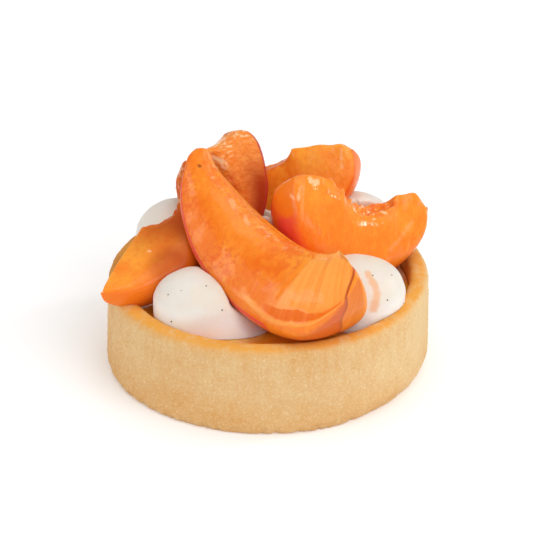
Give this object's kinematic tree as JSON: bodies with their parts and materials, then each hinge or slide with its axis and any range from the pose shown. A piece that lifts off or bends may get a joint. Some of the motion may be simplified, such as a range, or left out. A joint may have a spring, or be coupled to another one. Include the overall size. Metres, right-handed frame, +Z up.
{
  "type": "fruit tart",
  "caption": "Small round shortcrust tart filled with jelly, topped with piped cream dollops and a heap of glazed apricot wedges.",
  "frame": {"origin": "middle of the flat underside of the pastry case, on the surface that it rests on", "axes": "+Z up, -Y towards the side where the large front wedge and the front cream dollop lie, +X to the right seen from there"},
  "size_m": [0.0708, 0.0704, 0.0465],
  "materials": {
    "pastry": "dry, fine sandy crumb, a little browner at the rim",
    "jelly": "wet gloss",
    "apricot": "moist flesh and skin under a clear glaze",
    "cream": "smooth and satin, with fine dark vanilla specks"
  },
  "bodies": {
    "root": {"crust": "pastry", "filling": "jelly", "wedge_front": "apricot", "wedge_left": "apricot", "wedge_right": "apricot", "wedge_back_right": "apricot", "wedge_upright": "apricot", "cream_front_left": "cream", "cream_right": "cream", "cream_back_left": "cream", "cream_back_right": "cream", "cream_back": "cream", "cream_centre": "cream"}
  },
  "joints": []
}
